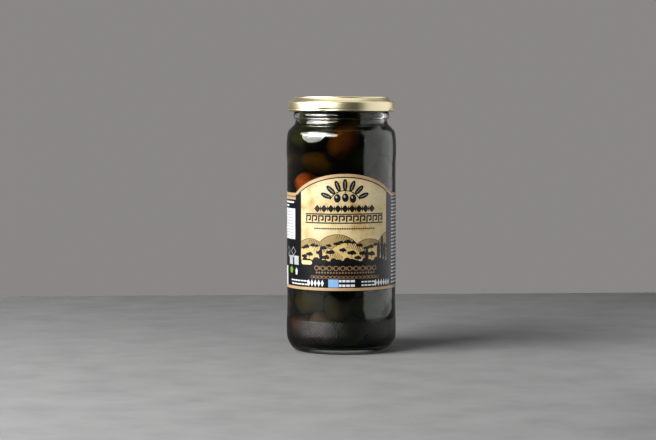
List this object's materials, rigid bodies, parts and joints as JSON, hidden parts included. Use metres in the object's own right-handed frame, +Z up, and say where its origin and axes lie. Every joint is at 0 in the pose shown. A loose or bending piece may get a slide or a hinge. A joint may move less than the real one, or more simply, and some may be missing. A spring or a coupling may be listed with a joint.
{
  "type": "jar of olives",
  "caption": "Tall round glass jar of dark olives in brine, with a gold twist-off lid and a wrap-round paper label that is arched at the front.",
  "frame": {"origin": "middle of the base, on the surface that the jar stands on", "axes": "+Z up along the jar's axis, -Y towards the front of the label"},
  "size_m": [0.072, 0.072, 0.1665],
  "materials": {
    "clear_glass": "clear, polished",
    "brine": "dark green-brown clear liquid",
    "olive_skin": "smooth wet skin",
    "gold_lacquer": "satin gold lacquer on steel",
    "label_paper": "coated paper, printed black, cream and gold"
  },
  "bodies": {
    "root": {"glass_jar": "clear_glass", "brine": "brine", "lid": "gold_lacquer", "label": "label_paper"}
  },
  "joints": []
}
